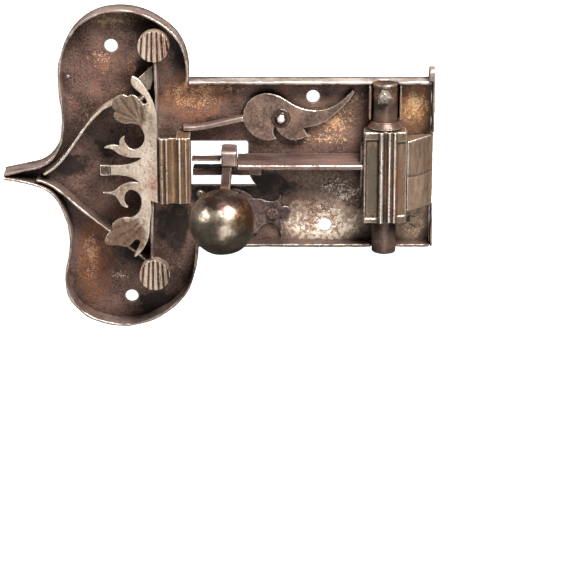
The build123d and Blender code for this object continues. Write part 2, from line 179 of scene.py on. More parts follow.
@dataclass(frozen=True)
class ForgedIron:
    """Wrought iron under a brown oxide, with rust bloom, pits and edges worn to bare metal.

    Forged and filed by hand, then handled for centuries: the oxide gives a clouded brown with a
    dull metallic sheen, rust shows as ragged tan flecks, and ridges are rubbed to bright metal.
    Closed-in corners are darkened with painted shade, and patches at given places are stains,
    painted shadows or painted highlights.

    Attributes:
        name: The material's name.
        hollow: Colour of the grime in creases and pits, and of the painted shade in closed-in
            corners.
        dark: Oxide where it is thick.
        light: Oxide where it is thin.
        rust: Orange bloom.
        fleck: Fine pale flecks.
        bare: Iron rubbed bare.
        rust_share: How much of the surface carries bloom, from 0 to 1.
        fleck_share: How much carries flecks, from 0 to 1.
        edge_wear: How strongly edges show bare iron.
        grime: How strongly hollows are darkened.
        rough: Roughness of the oxide.
        rough_bare: Roughness of bare iron.
        sheen: Metallic share of the oxide.
        soot: How strongly painted shade blackens corners that little light reaches.
        cloud_mm: Size of the clouds in the oxide.
        mottle_mm: Size of its fine mottle.
        mottle: Strength of the mottle against the clouds.
        pit_mm: Size of the largest pits.
        dent_mm: Depth of the surface's bumps.
        streak: Stretch of the clouds along X, Y and Z; one for none.
        edges: How worn edges are found.
        stains: Patches at given places: stains, painted shadows and painted highlights.
    """

    name: str
    hollow: str = "#150e0b"
    dark: str = "#3a2a26"
    light: str = "#6b5049"
    rust: str = "#93603c"
    fleck: str = "#b8946e"
    bare: str = "#c9bfb2"
    rust_share: float = 0.3
    fleck_share: float = 0.3
    edge_wear: float = 0.8
    grime: float = 0.8
    rough: float = 0.5
    rough_bare: float = 0.3
    sheen: float = 0.55
    soot: float = 0.6
    cloud_mm: float = 16.0
    mottle_mm: float = 1.6
    mottle: float = 0.6
    pit_mm: float = 1.4
    dent_mm: float = 0.12
    streak: tuple[float, float, float] = (1.0, 1.0, 1.0)
    edges: Edges = Edges.FORGED
    stains: tuple[StainOrPaintedLight, ...] = ()

    def make(self) -> bpy.types.Material:
        """Build the material.

        Returns:
            A new material with its whole node tree.
        """
        material = bpy.data.materials.new(self.name)
        material.use_nodes = True
        tree = material.node_tree
        tree.nodes.clear()
        place = add_node(tree, "ShaderNodeTexCoord").outputs["Object"]
        where = add_node(
            tree, "ShaderNodeVectorMath", {0: place, 1: self.streak}, operation="DIVIDE"
        ).outputs[0]
        edge, hollow = self._relief(tree)
        rubbed = self._rubbed(tree, where, edge)
        colour = self._oxide(tree, where)
        for over, mask in self._layers(tree, place, where, hollow, rubbed):
            laid = {0: mask, 6: colour, 7: linear(over)}
            colour = add_node(tree, "ShaderNodeMix", laid, data_type="RGBA").outputs[2]
        metallic = {"Value": rubbed, "To Min": self.sheen}
        shader = add_node(
            tree,
            "ShaderNodeBsdfPrincipled",
            {
                "Base Color": colour,
                "Roughness": self._roughness(tree, where, rubbed),
                "Metallic": add_node(tree, "ShaderNodeMapRange", metallic).outputs["Result"],
                "Normal": self._bumps(tree, where),
            },
        )
        add_node(tree, "ShaderNodeOutputMaterial", {"Surface": shader.outputs[0]})
        return material

    def _layers(
        self, tree: Tree, place: Socket, where: Socket, hollow: Socket, rubbed: Socket
    ) -> list[tuple[str, Socket]]:
        """What lies on the oxide, from the bottom up: bloom, flecks, stains and painted shadows and
        highlights, grime, bare edges, and painted shade in corners.

        Args:
            tree: The tree to add to.
            place: Object coordinates.
            where: The same, stretched along the grain.
            hollow: The mask of hollows.
            rubbed: Where edges are worn bare.

        Returns:
            Each layer's colour and its mask.
        """
        grimy = {0: hollow, 1: self.grime}
        grime = add_node(tree, "ShaderNodeMath", grimy, operation="MULTIPLY", use_clamp=True)
        bloom = (BLOOM_MM, self.rust_share, 0.2), (BLOOM_GRAIN_MM, 0.6, 0.3)
        flecks = (FLECK_PATCH_MM, self.fleck_share, 0.25), (FLECK_MM, 0.3, 0.1)
        return [
            (self.rust, self._flecks(tree, where, bloom)),
            (self.fleck, self._flecks(tree, where, flecks)),
            *((stain.colour, self._stain(tree, place, stain)) for stain in self.stains),
            (self.hollow, grime.outputs[0]),
            (self.bare, rubbed),
            # painted shade in closed-in corners, in the hollow colour
            (self.hollow, self._painted_shade_in_corners(tree)),
        ]

    def _roughness(self, tree: Tree, where: Socket, rubbed: Socket) -> Socket:
        """Uneven on the oxide, and smoother where edges are rubbed.

        Args:
            tree: The tree to add to.
            where: The coordinates.
            rubbed: Where edges are worn bare.

        Returns:
            The roughness.
        """
        spots = {
            "Vector": where,
            "Scale": 1 / (DULL_SPOT_MM * MM),
            "Detail": 4.0,
            "Roughness": NOISE_ROUGHNESS,
        }
        uneven = add_node(tree, "ShaderNodeTexNoise", spots).outputs["Fac"]
        spread = {"Value": uneven, "To Min": self.rough - 0.12, "To Max": self.rough + 0.12}
        dull = add_node(tree, "ShaderNodeMapRange", spread).outputs["Result"]
        both = {0: rubbed, 2: dull, 3: self.rough_bare}
        return add_node(tree, "ShaderNodeMix", both).outputs[0]

    def _two_grains(
        self,
        tree: Tree,
        where: Socket,
        base: tuple[float, float],
        over: tuple[float, float],
        strength: float,
    ) -> tuple[Socket, Socket]:
        """Noise of two sizes added up.

        Args:
            tree: The tree to add to.
            where: The coordinates.
            base: Size in millimetres and detail of the noise that counts fully.
            over: The same of the noise that is added.
            strength: How strongly that one counts.

        Returns:
            The sum, and the added noise alone.
        """
        full, added = (
            add_node(
                tree,
                "ShaderNodeTexNoise",
                {
                    "Vector": where,
                    "Scale": 1 / (size_mm * MM),
                    "Detail": detail,
                    "Roughness": NOISE_ROUGHNESS,
                },
            ).outputs["Fac"]
            for size_mm, detail in (base, over)
        )
        both = {0: added, 1: strength, 2: full}
        return add_node(tree, "ShaderNodeMath", both, operation="MULTIPLY_ADD").outputs[0], added

    def _patch(
        self, tree: Tree, where: Socket, size_mm: float, share: float, softness: float
    ) -> Socket:
        """A mask of ragged patches that covers about the given share.

        Args:
            tree: The tree to add to.
            where: The coordinates.
            size_mm: Patch size in millimetres.
            share: Covered share, from 0 to 1.
            softness: Width of the patch's edge, in noise units.

        Returns:
            The mask, from 0 to 1.
        """
        noise = {
            "Vector": where,
            "Scale": 1 / (size_mm * MM),
            "Detail": 6.0,
            "Roughness": NOISE_ROUGHNESS,
        }
        level = 0.5 + (0.5 - share) * 0.5
        cut = {
            "Value": add_node(tree, "ShaderNodeTexNoise", noise).outputs["Fac"],
            "From Min": level - softness / 2,
            "From Max": level + softness / 2,
        }
        mask = add_node(tree, "ShaderNodeMapRange", cut, interpolation_type="SMOOTHSTEP")
        return mask.outputs["Result"]

    def _flecks(
        self, tree: Tree, where: Socket, patches: tuple[tuple[float, float, float], ...]
    ) -> Socket:
        """Flecks that keep to patches.

        Args:
            tree: The tree to add to.
            where: The coordinates.
            patches: The patches and the flecks: size in millimetres, share and softness.

        Returns:
            The mask, from 0 to 1.
        """
        both = dict(enumerate(self._patch(tree, where, *patch) for patch in patches))
        return add_node(
            tree, "ShaderNodeMath", both, operation="MULTIPLY", use_clamp=True
        ).outputs[0]

    def _oxide(self, tree: Tree, where: Socket) -> Socket:
        """The brown oxide, clouded at two scales.

        Args:
            tree: The tree to add to.
            where: The coordinates.

        Returns:
            The oxide's colour.
        """
        clouds, mottle = (self.cloud_mm, 7.0), (self.mottle_mm, 5.0)
        height, _ = self._two_grains(tree, where, clouds, mottle, self.mottle)
        middle = 0.5 + 0.5 * self.mottle
        ramp = add_node(tree, "ShaderNodeValToRGB", {"Fac": height})
        low, high = ramp.color_ramp.elements
        low.position, low.color = middle - 0.17, linear(self.dark)
        high.position, high.color = middle + 0.15, linear(self.light)
        return ramp.outputs["Color"]

    def _stain(self, tree: Tree, place: Socket, stain: StainOrPaintedLight) -> Socket:
        """Where a stain, a painted shadow or a painted highlight covers.

        Args:
            tree: The tree to add to.
            place: Object coordinates.
            stain: The stain, painted shadow or painted highlight.

        Returns:
            The mask, from 0 to 1.
        """
        centre = (stain.centre_mm[0] * MM, stain.centre_mm[1] * MM, 0.0)
        spread = (1 / (stain.reach_mm[0] * MM), 1 / (stain.reach_mm[1] * MM), 0.0)
        offset = add_node(
            tree, "ShaderNodeVectorMath", {0: place, 1: centre}, operation="SUBTRACT"
        ).outputs[0]
        scaled = add_node(
            tree, "ShaderNodeVectorMath", {0: offset, 1: spread}, operation="MULTIPLY"
        ).outputs[0]
        distance = add_node(
            tree, "ShaderNodeVectorMath", {0: scaled}, operation="LENGTH"
        ).outputs["Value"]
        grain, wide = (stain.grain_mm, 6.0), (stain.reach_mm[1] * 0.45, 4.0)
        noise, wander = self._two_grains(tree, place, grain, wide, STAIN_WANDER)
        start = STAIN_BAR - stain.cover * STAIN_BAR_PER_COVER
        climb = {0: distance, 1: STAIN_CLIMB, 2: start}
        bar = add_node(tree, "ShaderNodeMath", climb, operation="MULTIPLY_ADD").outputs[0]
        even = {0: noise, 1: STAIN_WANDER / 2}
        height = add_node(tree, "ShaderNodeMath", even, operation="SUBTRACT").outputs[0]
        over = {0: height, 1: bar}
        rise = add_node(tree, "ShaderNodeMath", over, operation="SUBTRACT").outputs[0]
        ragged = {0: wander, 1: STAIN_FRAY, 2: distance}
        frayed = add_node(tree, "ShaderNodeMath", ragged, operation="MULTIPLY_ADD").outputs[0]
        speckled, whole = (
            add_node(
                tree,
                "ShaderNodeMapRange",
                {"Value": value, "From Min": empty, "From Max": full},
                interpolation_type="SMOOTHSTEP",
            ).outputs["Result"]
            for value, empty, full in ((rise, -0.01, 0.05), (frayed, 1.6, 1.3))
        )
        tinted = {"Value": speckled, "To Min": stain.tint, "To Max": 0.9}
        flecks = add_node(tree, "ShaderNodeMapRange", tinted).outputs["Result"]
        both = {0: flecks, 1: whole}
        return add_node(
            tree, "ShaderNodeMath", both, operation="MULTIPLY", use_clamp=True
        ).outputs[0]

    def _relief(self, tree: Tree) -> tuple[Socket, Socket]:
        """Masks of the raised edges and of the hollows.

        Args:
            tree: The tree to add to.

        Returns:
            The mask of edges and the mask of hollows, each from 0 to 1.
        """
        if self.edges is Edges.FORGED:
            turn = add_node(tree, "ShaderNodeAttribute", attribute_name="edge").outputs["Fac"]
            limits = ((0.22, 0.75), (-0.08, -0.5))
        else:
            rounded = add_node(tree, "ShaderNodeBevel", {"Radius": WORN_EDGE_MM * MM}, samples=6)
            face = add_node(tree, "ShaderNodeNewGeometry").outputs["Normal"]
            both = {0: rounded.outputs["Normal"], 1: face}
            turn = add_node(
                tree, "ShaderNodeVectorMath", both, operation="DOT_PRODUCT"
            ).outputs["Value"]
            limits = ((0.985, 0.87), (2.0, 3.0))
        edge, hollow = (
            add_node(tree, "ShaderNodeMapRange", {"Value": turn, "From Min": low, "From Max": high})
            for low, high in limits
        )
        return edge.outputs["Result"], hollow.outputs["Result"]

    def _painted_shade_in_corners(self, tree: Tree) -> Socket:
        """Painted shade: how strongly corners that are closed in on several sides are darkened, as
        little light reaches them.
        """
        reach = {"Distance": CORNER_SHADE_MM * MM}
        open_share = add_node(tree, "ShaderNodeAmbientOcclusion", reach, samples=8).outputs["AO"]
        inputs = {"Value": open_share, "From Min": 0.7, "From Max": 0.15, "To Max": self.soot}
        return add_node(tree, "ShaderNodeMapRange", inputs).outputs["Result"]

    def _rubbed(self, tree: Tree, where: Socket, edge: Socket) -> Socket:
        """Where edges are worn bare, in broken stretches.

        Args:
            tree: The tree to add to.
            where: The coordinates.
            edge: The mask of edges.

        Returns:
            The mask, from 0 to 1.
        """
        broken = self._patch(tree, where, BROKEN_EDGE_MM, 0.7, 0.5)
        worn = {"Value": broken, "To Min": 0.35, "To Max": self.edge_wear}
        strength = add_node(tree, "ShaderNodeMapRange", worn).outputs["Result"]
        both = {0: edge, 1: strength}
        return add_node(
            tree, "ShaderNodeMath", both, operation="MULTIPLY", use_clamp=True
        ).outputs[0]

    def _bumps(self, tree: Tree, where: Socket) -> Socket:
        """Pits and hammer marks as a surface normal."""
        pits, marks = (self.pit_mm, 7.0), (HAMMER_MARK_MM, 2.0)
        height, _ = self._two_grains(tree, where, pits, marks, 2.0)
        inputs = {"Height": height, "Strength": 0.9, "Distance": self.dent_mm * MM}
        return add_node(tree, "ShaderNodeBump", inputs).outputs["Normal"]


FINISHES = {
    # sheet iron, hammered flat: dark, with the heaviest rust, and shadows painted round the raised
    # pieces
    Slot.PLATE: ForgedIron(
        "plate_iron",
        dark="#37261f",
        light="#70564c",
        rust="#7d5443",
        fleck="#c4a083",
        soot=0.85,
        edges=Edges.SHARP,
        dent_mm=0.32,
        pit_mm=1.0,
        mottle_mm=1.0,
        mottle=0.8,
        rust_share=0.2,
        fleck_share=0.25,
        stains=(
            StainOrPaintedLight("#80584a", (-137.0, 49.0), (13.0, 12.0), 0.5, 2.4, 0.15),
            StainOrPaintedLight("#c69c7a", (-137.0, 50.0), (10.0, 8.0), 0.42, 0.6, 0.0),
            StainOrPaintedLight("#80584a", (-121.0, 46.0), (8.0, 10.0), 0.5, 2.4, 0.1),
            StainOrPaintedLight("#c69c7a", (-121.0, 47.0), (7.0, 8.0), 0.4, 0.6, 0.0),
            StainOrPaintedLight("#b39468", (-133.0, 70.0), (17.0, 6.5), 0.45, 0.6, 0.0),
            StainOrPaintedLight("#c0946c", (-143.0, 22.0), (8.0, 12.0), 0.25, 0.7, 0.0),
            StainOrPaintedLight("#85563b", (-143.0, -50.0), (10.0, 26.0), 0.75, 3.0, 0.4),
            StainOrPaintedLight("#b88c6e", (-144.0, -50.0), (7.0, 24.0), 0.42, 0.9, 0.0),
            StainOrPaintedLight("#8f6248", (-92.0, 32.0), (19.0, 14.0), 0.75, 2.6, 0.4),
            StainOrPaintedLight("#d3a57c", (-92.0, 33.0), (18.0, 11.0), 0.52, 0.7, 0.0),
            StainOrPaintedLight("#a5764c", (15.5, 28.0), (11.0, 19.0), 0.62, 2.0, 0.4),
            StainOrPaintedLight("#cfae84", (15.5, 28.0), (9.0, 14.0), 0.5, 0.8, 0.0),
            StainOrPaintedLight("#bf9570", (-25.0, 20.0), (21.0, 12.0), 0.4, 0.8, 0.1),
            StainOrPaintedLight("#c7a27e", (-30.0, 11.0), (26.0, 4.0), 0.42, 0.8, 0.0),
            StainOrPaintedLight("#c09674", (-75.0, 36.0), (12.0, 5.0), 0.38, 0.7, 0.0),
            StainOrPaintedLight("#b98f70", (-12.0, 32.0), (9.0, 8.0), 0.35, 0.7, 0.0),
            StainOrPaintedLight("#a58c77", (-31.0, -30.0), (24.0, 17.0), 0.8, 2.2, 0.35),
            StainOrPaintedLight("#d8c6b1", (-31.0, -32.0), (22.0, 13.0), 0.75, 2.4, 0.1),
            StainOrPaintedLight("#f1e6d8", (-31.0, -32.0), (20.0, 12.0), 0.5, 1.6, 0.0),
            StainOrPaintedLight("#d9c8b4", (-18.0, -16.0), (15.0, 8.0), 0.5, 1.2, 0.0),
            StainOrPaintedLight("#7a5442", (-34.0, -28.0), (25.0, 15.0), 0.5, 1.2, 0.0),
            StainOrPaintedLight("#3a2720", (-30.0, -24.0), (24.0, 14.0), 0.36, 0.9, 0.0),
            StainOrPaintedLight("#b9a184", (14.0, -30.0), (10.0, 13.0), 0.6, 1.2, 0.35),
            StainOrPaintedLight("#8b7768", (-28.0, -12.0), (26.0, 8.0), 0.6, 1.6, 0.3),
            StainOrPaintedLight("#1b1411", (-26.0, -11.0), (24.0, 8.0), 0.42, 1.4, 0.1),
            StainOrPaintedLight("#e0d2c0", (-22.0, -14.0), (18.0, 8.0), 0.4, 0.9, 0.0),
            # painted shadow beside the lower acanthus lobe
            StainOrPaintedLight("#1a120e", (-124.0, -46.0), (13.0, 7.5), 0.8, 5.0, 0.5),
            StainOrPaintedLight("#d3c2a8", (-130.5, -59.0), (7.5, 4.0), 0.42, 0.7, 0.0),
            # painted shadows: in the heart's tip, left of the upper hook, under the bar, round the
            # knob's rivet, below the catch block, inside the upper lobe's right rim, below the
            # lower stud and beside the upper stud
            StainOrPaintedLight("#140d0a", (-154.0, -2.0), (12.0, 7.0), 0.9, 4.0, 0.6),
            StainOrPaintedLight("#1a120e", (-137.0, 9.0), (15.0, 11.0), 0.35, 9.0, 0.5),
            StainOrPaintedLight("#100b09", (-57.0, -12.5), (15.0, 8.0), 0.8, 6.0, 0.7),
            StainOrPaintedLight("#100b09", (-88.0, -17.5), (11.0, 5.0), 0.9, 4.0, 0.7),
            StainOrPaintedLight("#140d0a", (-103.0, -33.0), (10.0, 15.0), 0.9, 5.0, 0.7),
            StainOrPaintedLight("#140d0a", (-98.0, 58.0), (6.0, 15.0), 0.85, 4.0, 0.6),
            StainOrPaintedLight("#140d0a", (-112.0, -73.0), (12.0, 7.0), 0.95, 4.0, 0.7),
            StainOrPaintedLight("#140d0a", (-116.0, 45.0), (6.0, 7.0), 0.95, 4.0, 0.7),
            StainOrPaintedLight("#17100d", (-14.0, -22.0), (12.0, 10.0), 0.3, 1.0, 0.0),
            StainOrPaintedLight("#2a1d17", (13.0, -30.0), (10.0, 12.0), 0.36, 1.0, 0.0),
        ),
    ),
    # strip iron on edge: a little lighter, its edges rubbed by the hand
    Slot.RIM: ForgedIron(
        "rim_iron",
        dark="#54433c",
        light="#8b766d",
        rust="#8a6547",
        bare="#d2c4b5",
        rust_share=0.2,
        fleck_share=0.2,
        edge_wear=0.85,
    ),
    # filed flat after forging: finer, with streaks along the bar
    Slot.LATCH: ForgedIron(
        "latch_iron",
        dark="#49362f",
        light="#836b64",
        rust="#7c5238",
        bare="#cdbfb1",
        rust_share=0.2,
        fleck_share=0.15,
        edge_wear=0.85,
        rough=0.4,
        streak=(6.0, 1.0, 1.0),
        mottle=0.35,
    ),
    # filed mouldings: ridges bare and bright, coves brown
    Slot.WORN: ForgedIron(
        "worn_iron",
        dark="#463529",
        light="#7d6a58",
        rust="#7a4f38",
        bare="#e8ddcf",
        rust_share=0.25,
        fleck_share=0.15,
        edge_wear=0.9,
        grime=0.55,
        rough=0.36,
        streak=(1.0, 5.0, 1.0),
        mottle=0.4,
    ),
    # sheet steel, filed and scraped clean: light grey-beige with brown stains
    Slot.LEAF: ForgedIron(
        "leaf_steel",
        dark="#7d6b5c",
        light="#b8a897",
        rust="#8b6a54",
        fleck="#715a49",
        bare="#e9dfd3",
        rust_share=0.2,
        rough=0.4,
        sheen=0.6,
        mottle=0.45,
        mottle_mm=1.2,
        grime=0.5,
        edge_wear=0.4,
        stains=(
            StainOrPaintedLight("#5f4a39", (-125.0, 28.0), (13.0, 14.0), 0.95, 2.4, 0.6),
            StainOrPaintedLight("#5f4432", (-127.0, -33.0), (14.0, 12.0), 0.95, 2.4, 0.65),
            StainOrPaintedLight("#7a604c", (-127.0, 8.0), (10.0, 7.0), 0.5, 2.0, 0.25),
            StainOrPaintedLight("#7a604c", (-127.0, -9.0), (10.0, 7.0), 0.5, 2.0, 0.25),
            StainOrPaintedLight("#8a5f50", (-111.5, -7.0), (4.0, 10.0), 0.5, 1.6, 0.3),
        ),
    ),
    # turned steel, polished by the hand: glossy, olive bronze with a brown stain, its top painted
    # darker as a dim reflection
    Slot.BALL: ForgedIron(
        "ball_steel",
        dark="#75655a",
        light="#b8aa96",
        rust="#7f5a42",
        bare="#d3cabc",
        rust_share=0.25,
        fleck_share=0.1,
        rough=0.33,
        soot=0.3,
        sheen=0.95,
        mottle=0.25,
        cloud_mm=9.0,
        dent_mm=0.08,
        stains=(
            StainOrPaintedLight("#7a5233", (-66.0, -11.0), (8.0, 9.0), 0.8, 6.0, 0.4),
            # painted dim reflection darkening the ball's top
            StainOrPaintedLight("#4e3430", (-78.0, -4.0), (13.0, 5.0), 0.8, 6.0, 0.5),
        ),
    ),
}


def vary(slot: Slot, name: str, **changes: object) -> ForgedIron:
    """A slot's finish under another name, with some of its values changed."""
    return replace(FINISHES[slot], name=name, **changes)


# pieces whose finish differs from the rest of their slot
SPECIAL = {
    # strip iron: pale along the top, partly rubbed by sleeves and partly painted reflection of the
    # white floor; brown along the bottom, painted as shade
    "flange_top": vary(
        Slot.RIM, "rim_iron_rubbed_and_painted_light", dark="#66574f", light="#b3a49d", rust_share=0.1
    ),
    "flange_bottom": vary(
        Slot.RIM, "rim_iron_painted_shade", dark="#3b2d28", light="#5e4c44", edge_wear=0.45
    ),
    # forged nail, its facets scraped grey
    "axle_nail": vary(
        Slot.WORN, "worn_iron_nail", dark="#6d6359", light="#b5aa9d", rust_share=0.1
    ),
    # rivet: nearly black, with a painted highlight on its dome
    "lever_rivet": vary(
        Slot.WORN,
        "worn_iron_rivet",
        dark="#2b1e18",
        light="#4c3a30",
        rough=0.3,
        edge_wear=0.3,
        # painted highlight on the dome
        stains=(StainOrPaintedLight("#e6ddd2", (-50.3, 22.5), (1.9, 2.3), 1.0, 3.0, 0.9),),
    ),
    # filed bar under the ball: painted dark brown as the ball's shade
    "knob_stem": vary(
        Slot.LATCH, "latch_iron_painted_shade", dark="#2b1f1b", light="#463630", edge_wear=0.4
    ),
    # filed block beside it, scraped paler
    "knob_collar": vary(Slot.LATCH, "collar_iron", dark="#65504a", light="#a38c84"),
    # filed mouldings: the sunk panel painted dark olive as shade, the ridges shine
    "knuckle": vary(
        Slot.WORN,
        "knuckle_iron",
        bare="#efe5d8",
        edge_wear=1.0,
        stains=(
            # painted shade over the sunk left panel
            StainOrPaintedLight("#41382b", (-6.0, -4.0), (3.6, 24.0), 1.0, 9.0, 0.8),
            StainOrPaintedLight("#7a4f38", (4.0, -6.0), (6.0, 24.0), 0.6, 3.0, 0.3),
        ),
    ),
    # forged wedge, filed smooth: warm mid brown
    "nose_leaf": vary(Slot.WORN, "nose_iron", dark="#5a4536", light="#97806b"),
    # filed mouldings that rub with each stroke: gold-brown coves, bright ridges
    "catch_block": vary(
        Slot.WORN, "block_iron", dark="#4c3323", light="#957657", bare="#f0e6d9"
    ),
    # cut sheet iron: mottled and without file streaks
    "lever_leaf": vary(
        Slot.LATCH,
        "lever_iron",
        dark="#3c2c24",
        light="#6f594d",
        streak=(1.0, 1.0, 1.0),
        fleck_share=0.35,
        mottle=0.7,
        edge_wear=0.9,
    ),
    # strip iron on edge: the upper one painted pale for the light on its face, the lower one
    # painted brown as shade
    "brace_upper": vary(Slot.RIM, "brace_iron_painted_light", dark="#776556", light="#c2ae9a"),
    "brace_lower": vary(
        Slot.RIM, "brace_iron_painted_shade", dark="#42342e", light="#76645b", edge_wear=0.45
    ),
    # forged rod and its collar: dark brown, barely rubbed
    "axle": vary(Slot.LATCH, "axle_iron", dark="#2f231c", light="#5e4b41", edge_wear=0.5),
    "axle_collar": vary(
        Slot.LATCH, "axle_collar_iron", dark="#35251e", light="#624a3f", edge_wear=0.35
    ),
    # cut sheet iron in the ball's shade: brown, smoother than the plate below it
    "palmette": vary(
        Slot.PLATE,
        "ornament_iron",
        dark="#35272a",
        light="#64504a",
        edges=Edges.FORGED,
        stains=(),
        edge_wear=0.7,
        soot=0.4,
        dent_mm=0.1,
    ),
}
for stud_name in ("stud_upper", "stud_lower"):
    # scored heads: bright ridges between grooves full of rust
    SPECIAL[stud_name] = vary(
        Slot.WORN,
        f"{stud_name}_iron",
        dark="#674b3a",
        light="#bda994",
        bare="#f6efe4",
        hollow="#451f10",
        grime=1.0,
        soot=0.5,
        edge_wear=0.9,
    )


class PieceTree:
    """A geometry tree with named inputs, whose shape is made real and given its finish.

    Attributes:
        NAME: The tree's name.
        INPUTS: Its inputs after the geometry: name, socket type and default.
    """

    NAME = ""
    INPUTS: tuple[tuple[str, str, object], ...] = ()

    def __init__(self) -> None:
        """Build the tree."""
        self.tree = bpy.data.node_groups.new(self.NAME, "GeometryNodeTree")
        face = self.tree.interface
        face.new_socket("Geometry", in_out="INPUT", socket_type="NodeSocketGeometry")
        for name, kind, value in self.INPUTS:
            socket = face.new_socket(name, in_out="INPUT", socket_type=kind)
            if value is not None:
                socket.default_value = value
        face.new_socket("Geometry", in_out="OUTPUT", socket_type="NodeSocketGeometry")
        self.given = add_node(self.tree, "NodeGroupInput").outputs
        real = self.add("GeometryNodeRealizeInstances", {0: self.shape()})
        finish = {"Geometry": real, "Material": self.given["Finish"]}
        add_node(self.tree, "NodeGroupOutput", {0: self.add("GeometryNodeSetMaterial", finish)})

    def add(
        self, kind: str, inputs: dict[str | int, object] | None = None, **settings: object
    ) -> Socket:
        """Add a node to this tree and give its first output that is in use."""
        node = add_node(self.tree, kind, inputs, **settings)
        return next(socket for socket in node.outputs if socket.enabled)

    def shape(self) -> Socket:
        """Add the nodes that make the shape.

        Returns:
            The shape, before it is made real.
        """
        raise NotImplementedError


class ForgeTree(PieceTree):
    """The node tree that turns a fine mesh into a forged surface.

    It smooths the mesh, sinks hammer marks and pits into it, and stores how sharply each point
    stands out of what is round it as the attribute "edge".
    """

    NAME = "forged_surface"
    INPUTS = (
        ("Smoothing", "NodeSocketInt", 3),
        ("Hammer depth", "NodeSocketFloat", 0.0002),
        ("Hammer size", "NodeSocketFloat", 0.006),
        ("Pit depth", "NodeSocketFloat", 0.0001),
        ("Pit size", "NodeSocketFloat", 0.0012),
        ("Edge reach", "NodeSocketInt", 6),
        ("Edge height", "NodeSocketFloat", 0.0002),
        ("Seed", "NodeSocketFloat", 4.0),
        ("Finish", "NodeSocketMaterial", None),
    )

    def shape(self) -> Socket:
        """Smooth the mesh, sink the marks and store the edges.

        Returns:
            The worked mesh.
        """
        given = self.given
        place = self.add("GeometryNodeInputPosition")
        outward = self.add("GeometryNodeInputNormal")
        soft = self._blurred(place, given["Smoothing"])
        smooth = self.add(
            "GeometryNodeSetPosition", {"Geometry": given["Geometry"], "Position": soft}
        )
        hammer = self._dents("Hammer", 2.0, (0.35, 0.7))
        pits = self._dents("Pit", 4.0, (0.52, 0.7))
        depth = self.add("ShaderNodeMath", {0: hammer, 1: pits}, operation="ADD")
        inward = self.add(
            "ShaderNodeVectorMath", {0: outward, "Scale": -1.0}, operation="SCALE"
        )
        sink = self.add("ShaderNodeVectorMath", {0: inward, "Scale": depth}, operation="SCALE")
        dented = self.add("GeometryNodeSetPosition", {"Geometry": smooth, "Offset": sink})
        around = self._blurred(place, given["Edge reach"])
        rise = self.add("ShaderNodeVectorMath", {0: place, 1: around}, operation="SUBTRACT")
        height = self.add(
            "ShaderNodeVectorMath", {0: rise, 1: outward}, operation="DOT_PRODUCT"
        )
        edge = self.add(
            "ShaderNodeMath", {0: height, 1: given["Edge height"]}, operation="DIVIDE"
        )
        marked = self.add(
            "GeometryNodeStoreNamedAttribute",
            {"Geometry": dented, "Name": "edge", "Value": edge},
            data_type="FLOAT",
            domain="POINT",
        )
        return self.add("GeometryNodeSetShadeSmooth", {"Geometry": marked})

    def _blurred(self, place: Socket, times: Socket) -> Socket:
        """The mean place of the points round each point."""
        return self.add(
            "GeometryNodeBlurAttribute", {0: place, 1: times}, data_type="FLOAT_VECTOR"
        )

    def _dents(self, kind: str, detail: float, limits: tuple[float, float]) -> Socket:
        """Depth of one layer of dents.

        Args:
            kind: The layer's name in the inputs, before "size" and "depth".
            detail: How many finer layers it carries.
            limits: The noise values where a dent starts and is deepest.

        Returns:
            The depth below the smooth surface.
        """
        given = self.given
        scale = self.add("ShaderNodeMath", {0: 1.0, 1: given[f"{kind} size"]}, operation="DIVIDE")
        noise = {"Scale": scale, "W": given["Seed"], "Detail": detail}
        value = self.add("ShaderNodeTexNoise", noise, noise_dimensions="4D")
        start, deepest = limits
        dent = {
            "Value": value,
            "From Min": start,
            "From Max": deepest,
            "To Max": given[f"{kind} depth"],
        }
        return self.add("ShaderNodeMapRange", dent, interpolation_type="SMOOTHSTEP")


